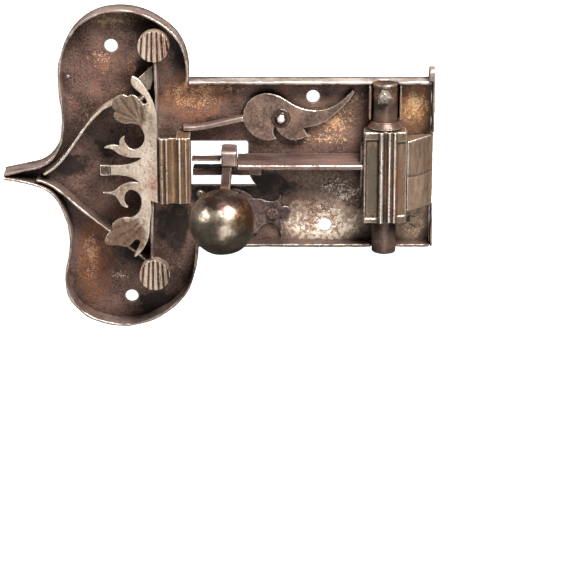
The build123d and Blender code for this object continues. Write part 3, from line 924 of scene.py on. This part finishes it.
class StudTree(PieceTree):
    """The node tree that makes a stud: a shank and a thick head scored with grooves."""

    NAME = "grooved_stud"
    INPUTS = (
        ("Centre", "NodeSocketVector", (0.0, 0.0, 0.0)),
        ("Head radius", "NodeSocketFloat", 0.0075),
        ("Head foot", "NodeSocketFloat", 0.0154),
        ("Head height", "NodeSocketFloat", 0.007),
        ("Shank radius", "NodeSocketFloat", 0.0036),
        ("Shank foot", "NodeSocketFloat", 0.002),
        ("Shank height", "NodeSocketFloat", 0.0136),
        ("Groove count", "NodeSocketInt", 6),
        ("Groove pitch", "NodeSocketFloat", 0.00245),
        ("Groove radius", "NodeSocketFloat", 0.0005),
        ("Groove length", "NodeSocketFloat", 0.022),
        ("Groove stretch", "NodeSocketFloat", 2.0),
        ("Fan", "NodeSocketFloat", 0.035),
        ("Unevenness", "NodeSocketFloat", 0.0006),
        ("Seed", "NodeSocketInt", 5),
        ("Finish", "NodeSocketMaterial", None),
    )

    def shape(self) -> Socket:
        """Cut the grooves into the head and set it on its shank.

        Returns:
            The stud.
        """
        grooved = self.add(
            "GeometryNodeMeshBoolean",
            {"Mesh 1": self._upright("Head"), "Mesh 2": self._cutters()},
            operation="DIFFERENCE",
            solver="EXACT",
        )
        both = add_node(self.tree, "GeometryNodeJoinGeometry")
        for piece in (grooved, self._upright("Shank")):
            self.tree.links.new(piece, both.inputs[0])
        return both.outputs[0]

    def _upright(self, part: str) -> Socket:
        """A round bar standing at the stud's centre.

        Args:
            part: Its name in the inputs, before "radius", "foot" and "height".

        Returns:
            The bar.
        """
        given = self.given
        height = given[f"{part} height"]
        bar = self.add(
            "GeometryNodeMeshCylinder",
            {"Vertices": 64, "Radius": given[f"{part} radius"], "Depth": height},
            fill_type="NGON",
        )
        half = {0: height, 1: 0.5, 2: given[f"{part} foot"]}
        middle = self.add("ShaderNodeMath", half, operation="MULTIPLY_ADD")
        return self.add(
            "GeometryNodeTransform", {"Geometry": bar, "Translation": self._at_centre(Z=middle)}
        )

    def _at_centre(self, **offset: Socket) -> Socket:
        """The stud's centre, moved by the offsets given for X and Z."""
        moved = {0: self.add("ShaderNodeCombineXYZ", offset), 1: self.given["Centre"]}
        return self.add("ShaderNodeVectorMath", moved, operation="ADD")

    def _cutters(self) -> Socket:
        """The bars that cut the grooves, fanned out a little and unevenly spaced.

        Returns:
            The bars, made real.
        """
        given = self.given
        top = {0: given["Head foot"], 1: given["Head height"]}
        less_one = {0: given["Groove count"], 1: 1.0}
        spaces = self.add("ShaderNodeMath", less_one, operation="SUBTRACT")
        first = self.add("ShaderNodeMath", {0: spaces, 1: -0.5}, operation="MULTIPLY")
        left = {0: first, 1: given["Groove pitch"]}
        line = self.add(
            "GeometryNodeMeshLine",
            {
                "Count": given["Groove count"],
                "Start Location": self._at_centre(
                    X=self.add("ShaderNodeMath", left, operation="MULTIPLY"),
                    Z=self.add("ShaderNodeMath", top, operation="ADD"),
                ),
                "Offset": self.add("ShaderNodeCombineXYZ", {"X": given["Groove pitch"]}),
            },
        )
        spread = {"Max": given["Unevenness"], "Seed": given["Seed"]}
        aside = self.add("FunctionNodeRandomValue", spread, data_type="FLOAT")
        uneven = self.add(
            "GeometryNodeSetPosition",
            {"Geometry": line, "Offset": self.add("ShaderNodeCombineXYZ", {"X": aside})},
        )
        bar = self.add(
            "GeometryNodeMeshCylinder",
            {"Vertices": 20, "Radius": given["Groove radius"], "Depth": given["Groove length"]},
            fill_type="NGON",
        )
        index = self.add("GeometryNodeInputIndex")
        from_middle = self.add("ShaderNodeMath", {0: index, 1: first}, operation="ADD")
        fanned = {0: from_middle, 1: given["Fan"]}
        lean = self.add("ShaderNodeMath", fanned, operation="MULTIPLY")
        turn = self.add("ShaderNodeCombineXYZ", {"X": math.pi / 2, "Z": lean})
        deep = self.add(
            "ShaderNodeCombineXYZ", {"X": 1.0, "Y": given["Groove stretch"], "Z": 1.0}
        )
        bars = self.add(
            "GeometryNodeInstanceOnPoints",
            {
                "Points": uneven,
                "Instance": bar,
                "Rotation": self.add("FunctionNodeEulerToRotation", {0: turn}),
                "Scale": deep,
            },
        )
        return self.add("GeometryNodeRealizeInstances", {0: bars})


@dataclass(frozen=True)
class Forging:
    """How a piece's surface is worked.

    Attributes:
        voxel_mm: Width of the fine mesh's faces.
        smoothing: How many times the mesh is smoothed; more gives rounder edges.
        hammer_mm: Depth of the hammer marks.
        hammer_size_mm: Their size.
        pit_mm: Depth of the pits.
        edge_reach: How far round a point its height is compared, in faces.
        edge_height_mm: The height that counts as a full edge.
        seed: Seed of the marks.
    """

    voxel_mm: float = 0.36
    smoothing: int = 3
    hammer_mm: float = 0.22
    hammer_size_mm: float = 7.0
    pit_mm: float = 0.08
    edge_reach: int = 6
    edge_height_mm: float = 0.16
    seed: float = 4.0


def placed(name: str, data: bpy.types.ID) -> bpy.types.Object:
    """Put a mesh, a lamp or a camera into the scene as a new object."""
    result = bpy.data.objects.new(name, data)
    bpy.context.scene.collection.objects.link(result)
    return result


def plain_mesh(source: bpy.types.Object, name: str) -> bpy.types.Object:
    """Turn what an object's modifiers give into a plain object, and remove the source.

    Args:
        source: The object with its modifiers.
        name: The new object's name.

    Returns:
        The plain object.
    """
    graph = bpy.context.evaluated_depsgraph_get()
    mesh = bpy.data.meshes.new_from_object(source.evaluated_get(graph))
    bpy.data.objects.remove(source)
    mesh.name = name
    return placed(name, mesh)


def set_inputs(modifier: bpy.types.NodesModifier, values: dict[str, object]) -> None:
    """Set a node modifier's inputs by their sockets' identifiers.

    Args:
        modifier: The modifier.
        values: Input values by the socket's name.
    """
    for item in modifier.node_group.interface.items_tree:
        if item.in_out == "INPUT" and item.name in values:
            modifier[item.identifier] = values[item.name]


@dataclass
class Smithy:
    """What all sub-assemblies share.

    Attributes:
        materials: The finish of each slot.
        special: The finish of each node that has its own.
        forge_tree: The tree that works a surface.
        stud_tree: The tree that makes a stud.
    """

    frame: dict
    materials: dict[Slot, bpy.types.Material]
    special: dict[str, bpy.types.Material]
    forge_tree: Tree
    stud_tree: Tree

    def slot_of(self, node: str) -> Slot:
        """The material slot of a CAD node."""
        entries = {e["node"]: e["material_slot"] for e in self.frame["record"]["subparts"]}
        return Slot(entries[node])

    def finish_of(self, node: str) -> bpy.types.Material:
        """The material of a CAD node: its own if it has one, or its slot's."""
        return self.special.get(node) or self.materials[self.slot_of(node)]

    def body_of(self, node: str) -> str:
        """The body that a CAD node rides on."""
        bodies = self.frame["record"]["behaviour"]["bodies"]
        return next(body for body, nodes in bodies.items() if node in nodes)

    def merged_copy(self, node: str) -> bpy.types.Object:
        """A copy of a CAD node with its doubled points merged.

        Args:
            node: The CAD node.

        Returns:
            A new object with a closed mesh.
        """
        mesh = self.frame["nodes"][node].data.copy()
        work = bmesh.new()
        work.from_mesh(mesh)
        bmesh.ops.remove_doubles(work, verts=work.verts, dist=DOUBLE_POINTS)
        work.to_mesh(mesh)
        work.free()
        return placed(f"{node}_copy", mesh)

    def fine(self, piece: bpy.types.Object, voxel_mm: float) -> bpy.types.Object:
        """Remesh a closed piece into small even faces."""
        remesh = piece.modifiers.new("fine", "REMESH")
        remesh.mode = "VOXEL"
        remesh.voxel_size = voxel_mm * MM
        return plain_mesh(piece, piece.name)

    def forge(self, piece: bpy.types.Object, node: str, work: Forging) -> None:
        """Work a fine piece's surface and let it stand for a CAD node.

        Args:
            piece: The fine piece.
            node: The CAD node that it stands for.
            work: How its surface is worked.
        """
        modifier = piece.modifiers.new("forge", "NODES")
        modifier.node_group = self.forge_tree
        set_inputs(
            modifier,
            {
                "Smoothing": work.smoothing,
                "Hammer depth": work.hammer_mm * MM,
                "Hammer size": work.hammer_size_mm * MM,
                "Pit depth": work.pit_mm * MM,
                "Edge reach": work.edge_reach,
                "Edge height": work.edge_height_mm * MM,
                "Seed": work.seed,
                "Finish": self.finish_of(node),
            },
        )
        done = plain_mesh(piece, f"forged_{node}")
        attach(done, self.body_of(node))
        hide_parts(node)
        LOG.info("forged %s: %d faces", node, len(done.data.polygons))

    def fine_copy(self, node: str, work: Forging) -> bpy.types.Object:
        """A copy of a CAD node in small even faces, of the width that its forging asks for."""
        return self.fine(self.merged_copy(node), work.voxel_mm)

    def forge_nodes(self, nodes: tuple[str, ...], work: Forging) -> None:
        """Forge the own shapes of several CAD nodes."""
        for node in nodes:
            self.forge(self.fine_copy(node, work), node, work)

    def dress(self, node: str) -> None:
        """Give a CAD node its slot's material and leave its mesh as it is."""
        data = self.frame["nodes"][node].data
        data.materials.clear()
        data.materials.append(self.finish_of(node))
        LOG.info("dressed %s", node)


def ringed(
    name: str, rings_mm: list[list[tuple[float, float, float]]], hollow: bool = False
) -> bpy.types.Object:
    """Make a closed solid by joining rings of points, one after another.

    Args:
        name: The object's name.
        rings_mm: The rings, each with the same count of points.
        hollow: Whether the last ring joins the first, as in a tube, or both ends are capped.

    Returns:
        The solid.
    """
    sides = len(rings_mm[0])
    points = [[value * MM for value in point] for ring in rings_mm for point in ring]
    spans = len(rings_mm) if hollow else len(rings_mm) - 1
    faces = []
    for ring in range(spans):
        low, high = ring * sides, (ring + 1) % len(rings_mm) * sides
        for k in range(sides):
            following = (k + 1) % sides
            faces.append((low + k, low + following, high + following, high + k))
    if not hollow:
        faces += [tuple(reversed(range(sides))), tuple(range(len(points) - sides, len(points)))]
    mesh = bpy.data.meshes.new(name)
    mesh.from_pydata(points, [], faces)
    return placed(name, mesh)


def circle(radius: float) -> Points:
    """Points round a circle."""
    turns = [2 * math.pi * k / CIRCLE_POINTS for k in range(CIRCLE_POINTS)]
    return [(radius * math.cos(turn), radius * math.sin(turn)) for turn in turns]


def engrave(
    mesh: bpy.types.Mesh, lines_mm: list[Points], width_mm: float, depth_mm: float
) -> None:
    """Sink shallow grooves along lines into the upward faces of a fine mesh.

    Args:
        mesh: The mesh.
        lines_mm: The lines' points in X and Y.
        width_mm: Width of a groove.
        depth_mm: Its depth at the middle.
    """
    count = len(mesh.vertices)
    points = np.empty(count * 3)
    normals = np.empty(count * 3)
    mesh.vertices.foreach_get("co", points)
    mesh.vertex_normals.foreach_get("vector", normals)
    points, normals = points.reshape(-1, 3), normals.reshape(-1, 3)
    flat = points[:, :2] / MM
    nearest = np.full(count, 1e9)
    for line in lines_mm:
        for start, end in zip(line, line[1:]):
            first, span = np.array(start), np.array(end) - np.array(start)
            along = np.clip((flat - first) @ span / (span @ span), 0, 1)
            gap = np.hypot(*(flat - first - along[:, None] * span).T)
            nearest = np.minimum(nearest, gap)
    depth = depth_mm * MM * np.exp(-((nearest / (width_mm / 2)) ** 2))
    points[:, 2] -= np.where(normals[:, 2] > 0.5, depth, 0.0)
    mesh.vertices.foreach_set("co", points.ravel())
    mesh.update()


@dataclass
class Case:
    """The heart-shaped plate with its rims, studs, spring, braces, cradle, axle and rivets.

    Attributes:
        smithy: What all sub-assemblies share.
        strip: How the strips, the cradle and the axle are worked.
        small: How the rivets are worked.
        ornament: How the palmette is worked.
        head: How the studs are worked.
        nail: How the nail is worked.
        worn: How the axle's collar is worked.
        studs_mm: The studs' places in X and Y.
        axle_z_mm: Height of the axle's middle.
        collar_profile_mm: The collar's radius and place in Y, ring by ring.
        shank_mm: The nail's shank, as an outline in X and Y.
        shank_z_mm: The heights between which it runs.
        nail_head_mm: The nail's head, as heights with their outlines.
        rivet_mm: The lever rivet's place in X and Y.
        rivet_voxel_mm: Width of the faces of its fine mesh.
        rivet_profile_mm: Its radius and height, ring by ring.
    """

    smithy: Smithy
    strip: Forging = Forging(
        voxel_mm=0.4, hammer_mm=0.35, hammer_size_mm=8.0, edge_reach=3, edge_height_mm=0.11
    )
    small: Forging = Forging(voxel_mm=0.28, hammer_mm=0.2, hammer_size_mm=3.5)
    ornament: Forging = Forging(voxel_mm=0.3, smoothing=9, hammer_mm=0.3, hammer_size_mm=4.0)
    head: Forging = Forging(
        voxel_mm=0.15,
        smoothing=2,
        hammer_mm=0.1,
        hammer_size_mm=2.5,
        edge_reach=5,
        edge_height_mm=0.07,
    )
    nail: Forging = Forging(
        voxel_mm=0.18,
        smoothing=2,
        hammer_mm=0.25,
        hammer_size_mm=3.0,
        edge_height_mm=0.14,
        seed=9.0,
    )
    worn: Forging = Forging(voxel_mm=0.24, hammer_mm=0.15, edge_height_mm=0.12)
    studs_mm: dict[str, tuple[float, float]] = field(
        default_factory=lambda: {"stud_upper": (-110.9, 61.0), "stud_lower": (-112.1, -52.7)}
    )
    axle_z_mm: float = 12.0
    collar_profile_mm: Points = field(
        default_factory=lambda: [
            (6.15, 19.2), (8.3, 19.2), (8.6, 19.6), (8.5, 20.1), (7.9, 20.4), (7.85, 20.9),
            (7.3, 21.3), (7.2, 21.8), (6.8, 22.2), (6.6, 22.8), (6.4, 23.25), (6.15, 23.25),
        ]
    )
    shank_mm: Points = field(
        default_factory=lambda: [
            (-1.3, 35.0), (0.0, 34.3), (1.3, 35.0), (1.3, 36.5), (0.0, 37.3), (-1.3, 36.5),
        ]
    )
    shank_z_mm: tuple[float, float] = (2.05, 17.6)
    nail_head_mm: dict[float, Points] = field(
        default_factory=lambda: {
            17.65: [
                (-3.6, 32.6), (1.7, 32.3), (3.6, 34.9), (1.2, 38.9), (-1.9, 39.4), (-3.9, 35.9),
            ],
            19.7: [
                (-3.9, 32.6), (1.6, 32.2), (3.7, 35.3), (0.7, 39.1), (-1.8, 39.5), (-4.0, 35.7),
            ],
            21.5: [
                (-2.9, 34.0), (0.4, 33.3), (2.5, 35.9), (0.1, 38.4), (-1.3, 38.8), (-3.1, 36.2),
            ],
            22.2: [
                (-1.5, 36.3), (-0.6, 35.6), (0.6, 36.6), (-0.2, 37.9), (-0.9, 38.1), (-1.6, 37.1),
            ],
        }
    )
    rivet_mm: tuple[float, float] = (-50.4, 22.6)
    rivet_voxel_mm: float = 0.2
    rivet_profile_mm: Points = field(
        default_factory=lambda: [
            (4.3, 2.05), (4.3, 3.5), (2.55, 3.55), (2.55, 6.5), (4.8, 6.5), (4.85, 6.9),
            (4.3, 7.2), (3.3, 7.3), (2.75, 7.6), (2.4, 8.3), (1.7, 8.8), (0.8, 9.02), (0.1, 9.04),
        ]
    )

    def stud(self, node: str) -> None:
        """Make one grooved stud.

        Args:
            node: The CAD node that it stands for.
        """
        x_mm, y_mm = self.studs_mm[node]
        blank = placed(f"{node}_blank", bpy.data.meshes.new(f"{node}_blank"))
        modifier = blank.modifiers.new("stud", "NODES")
        modifier.node_group = self.smithy.stud_tree
        centre = (x_mm * MM, y_mm * MM, 0.0)
        set_inputs(modifier, {"Centre": centre, "Finish": self.smithy.finish_of(node)})
        solid = plain_mesh(blank, f"{node}_solid")
        self.smithy.forge(self.smithy.fine(solid, self.head.voxel_mm), node, self.head)

    def lever_rivet(self) -> None:
        """Turn the lever's rivet: a dished washer with a pointed dome in its middle."""
        x_mm, y_mm = self.rivet_mm
        rings = [
            [(x_mm + u, y_mm + v, z) for u, v in circle(radius)]
            for radius, z in self.rivet_profile_mm
        ]
        fine = self.smithy.fine(ringed("rivet_solid", rings), self.rivet_voxel_mm)
        self.smithy.forge(fine, "lever_rivet", self.small)

    def axle_collar(self) -> None:
        """Turn the collar that flares in steps from the axle towards the knuckle."""
        rings = [
            [(u, y, self.axle_z_mm + v) for u, v in circle(radius)]
            for radius, y in reversed(self.collar_profile_mm)
        ]
        solid = ringed("collar_solid", rings, hollow=True)
        self.smithy.forge(self.smithy.fine(solid, self.worn.voxel_mm), "axle_collar", self.worn)

    def axle_nail(self) -> None:
        """Make the hand-forged nail: its head is hammered to a few uneven facets."""
        outlines = dict.fromkeys(self.shank_z_mm, self.shank_mm) | self.nail_head_mm
        rings = [[(x, y, z) for x, y in outline] for z, outline in outlines.items()]
        solid = ringed("nail_solid", rings)
        self.smithy.forge(self.smithy.fine(solid, self.nail.voxel_mm), "axle_nail", self.nail)

    def build(self) -> None:
        """Make and dress every piece of the case."""
        self.smithy.dress("back_plate")
        strips = ("rim_upper", "rim_lower", "flange_top", "flange_bottom", "forend", "bow_spring")
        self.smithy.forge_nodes(strips, self.strip)
        self.smithy.forge_nodes(("brace_upper", "brace_lower", "cradle", "axle"), self.strip)
        self.smithy.forge_nodes(("knob_rivet",), self.small)
        self.lever_rivet()
        self.axle_collar()
        self.axle_nail()
        self.smithy.forge_nodes(("palmette", "palmette_boss"), self.ornament)
        for node in self.studs_mm:
            self.stud(node)


@dataclass
class Latch:
    """The swinging latch: knuckle, nose, bar, collar, prongs, stem and ball.

    Attributes:
        smithy: What all sub-assemblies share.
        moulded: How the knuckle is worked.
        filed: How the nose, the bar and what it carries are worked.
        turned: How the ball is worked.
        lap_mm: The line across the nose, where its iron was lapped and welded.
        lap_width_mm: Its width.
        lap_depth_mm: Its depth.
    """

    smithy: Smithy
    moulded: Forging = Forging(
        voxel_mm=0.3, hammer_mm=0.15, edge_reach=8, edge_height_mm=0.15
    )
    filed: Forging = Forging(
        hammer_mm=0.25, hammer_size_mm=8.0, edge_reach=4, edge_height_mm=0.12
    )
    turned: Forging = Forging(
        voxel_mm=0.45,
        smoothing=4,
        hammer_mm=0.35,
        hammer_size_mm=11.0,
        pit_mm=0.05,
        edge_height_mm=1.0,
    )
    lap_mm: Points = field(
        default_factory=lambda: [(9.9, -3.4), (14.8, -3.7), (19.9, -3.0), (24.4, -2.0)]
    )
    lap_width_mm: float = 0.7
    lap_depth_mm: float = 0.45

    def build(self) -> None:
        """Make and dress every piece of the latch."""
        self.smithy.forge_nodes(("knuckle",), self.moulded)
        nose = self.smithy.fine_copy("nose_leaf", self.filed)
        engrave(nose.data, [self.lap_mm], self.lap_width_mm, self.lap_depth_mm)
        self.smithy.forge(nose, "nose_leaf", self.filed)
        carried = ("latch_bar", "knob_collar", "upper_prong", "lower_prong", "knob_stem")
        self.smithy.forge_nodes(carried, self.filed)
        self.smithy.forge_nodes(("knob_ball",), self.turned)


@dataclass
class Catch:
    """The sprung catch: moulded block, acanthus plate, its rivet and its foot.

    Attributes:
        smithy: What all sub-assemblies share.
        moulded: How the block is worked.
        leaf: How the acanthus plate, its rivet and its foot are worked.
        veins_mm: The leaf's veins, as lines in X and Y.
        vein_width_mm: Their width.
        vein_depth_mm: Their depth.
    """

    smithy: Smithy
    moulded: Forging = Forging(
        voxel_mm=0.3, smoothing=2, hammer_mm=0.1, edge_reach=7, edge_height_mm=0.17
    )
    leaf: Forging = Forging(
        voxel_mm=0.28,
        smoothing=2,
        hammer_mm=0.14,
        hammer_size_mm=5.0,
        pit_mm=0.1,
        edge_reach=4,
        edge_height_mm=0.11,
    )
    veins_mm: list[Points] = field(
        default_factory=lambda: [
            [(-117.5, 24.5), (-119.5, 30.0), (-121.4, 37.0)],
            [(-118.0, 24.8), (-123.5, 27.0), (-130.0, 29.9)],
            [(-118.5, 25.5), (-123.5, 30.5), (-127.0, 35.8)],
            [(-117.0, 25.5), (-117.4, 30.0), (-117.8, 34.0)],
            [(-119.5, 24.8), (-124.0, 25.2), (-127.5, 26.0)],
            [(-118.0, -24.5), (-124.0, -30.0), (-132.0, -34.8)],
            [(-117.0, -25.5), (-121.0, -31.0), (-127.0, -36.5)],
            [(-119.5, -24.2), (-125.5, -26.5), (-131.0, -28.5)],
        ]
    )
    vein_width_mm: float = 1.3
    vein_depth_mm: float = 0.24

    def build(self) -> None:
        """Make and dress every piece of the catch."""
        self.smithy.forge_nodes(("catch_block",), self.moulded)
        leaf = self.smithy.fine_copy("acanthus_plate", self.leaf)
        engrave(leaf.data, self.veins_mm, self.vein_width_mm, self.vein_depth_mm)
        self.smithy.forge(leaf, "acanthus_plate", self.leaf)
        self.smithy.forge_nodes(("catch_rivet", "catch_foot"), self.leaf)


@dataclass
class NightLever:
    """The small turning lever: its dolphin-shaped leaf and its arm."""

    smithy: Smithy
    cut: Forging = Forging(voxel_mm=0.3, hammer_mm=0.15, hammer_size_mm=5.0)

    def build(self) -> None:
        """Make and dress both pieces."""
        self.smithy.forge_nodes(("lever_leaf", "lever_arm"), self.cut)


@dataclass
class Studio:
    """Pale floor, soft lights and the camera of the photograph.

    The camera looks down at the lock, tilted towards the body's top edge, with that edge at the
    top of the picture.

    Attributes:
        tilt_deg: The camera's tilt from straight down.
        distance: How far it stands from the point that it looks at.
        lens_mm: Its focal length.
        axis_point: The point that it looks at.
        lit_point: The point that the lights are aimed at.
        floor_half: Half the floor's width.
        world_strength: Light from all round.
    """

    tilt_deg: float = 18.0
    distance: float = 1.15
    lens_mm: float = 145.3
    axis_point: Vector = field(default_factory=lambda: Vector((-0.04835, -0.0647, 0.0)))
    lit_point: Vector = field(default_factory=lambda: Vector((-0.08, 0.0, 0.0)))
    floor_half: float = 3.0
    world_strength: float = 0.06

    def camera(self) -> None:
        """Create the camera and make it the scene's."""
        tilt = math.radians(self.tilt_deg)
        data = bpy.data.cameras.new("camera")
        data.lens = self.lens_mm
        data.sensor_width = 36.0
        data.clip_end = 20.0
        eye = placed("camera", data)
        eye.location = self.axis_point + self.distance * Vector((0, math.sin(tilt), math.cos(tilt)))
        eye.rotation_euler = (-tilt, 0, 0)
        bpy.context.scene.camera = eye

    def light(self, name: str, place: Vector, size: float, watts: float) -> None:
        """Add one square soft light aimed at the lock.

        Args:
            name: The light's name.
            place: Where it stands.
            size: Its width.
            watts: Its power.
        """
        data = bpy.data.lights.new(name, "AREA")
        data.size = size
        data.energy = watts
        lamp = placed(name, data)
        lamp.location = place
        lamp.rotation_euler = (self.lit_point - place).to_track_quat("-Z", "Y").to_euler()

    def floor(self) -> None:
        """Lay the pale floor, lit from within so that it stays as white as a light table."""
        mesh = bpy.data.meshes.new("floor")
        half = self.floor_half
        edges = [(-half, -half, 0), (half, -half, 0), (half, half, 0), (-half, half, 0)]
        mesh.from_pydata(edges, [], [(0, 1, 2, 3)])
        floor = placed("floor", mesh)
        material = bpy.data.materials.new("pale_floor")
        material.use_nodes = True
        # matt white sheet, lit from below: an even white that takes no colour from the iron
        shader = material.node_tree.nodes["Principled BSDF"].inputs
        shader["Base Color"].default_value = linear("#f4f3f1")
        shader["Roughness"].default_value = 0.9
        shader["Emission Color"].default_value = linear("#ffffff")
        shader["Emission Strength"].default_value = 1.0
        mesh.materials.append(material)
        floor.visible_glossy = False

    def build(self) -> None:
        """Set up everything that isn't the lock."""
        self.camera()
        self.light("key", Vector((0.32, 0.92, 0.68)), 0.52, 52.0)
        self.light("left", Vector((-0.95, 0.4, 0.3)), 0.3, 5.0)
        self.light("overhead", Vector((0.12, -0.35, 1.15)), 0.7, 4.5)
        self.floor()
        world = bpy.data.worlds.new("studio")
        world.use_nodes = True
        sky = world.node_tree.nodes["Background"].inputs
        sky["Color"].default_value = linear("#ffffff")
        sky["Strength"].default_value = self.world_strength
        bpy.context.scene.world = world
        bpy.context.scene.view_settings.view_transform = "Standard"


def main() -> None:
    """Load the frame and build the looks."""
    logging.basicConfig(level=logging.INFO, format="%(message)s")
    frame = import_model()
    Studio().build()
    materials = {slot: finish.make() for slot, finish in FINISHES.items()}
    special = {node: finish.make() for node, finish in SPECIAL.items()}
    smithy = Smithy(frame, materials, special, ForgeTree().tree, StudTree().tree)
    for assembly in (Case, Latch, Catch, NightLever):
        assembly(smithy).build()
        LOG.info("built the %s", assembly.__name__)


if __name__ == "__main__":
    main()
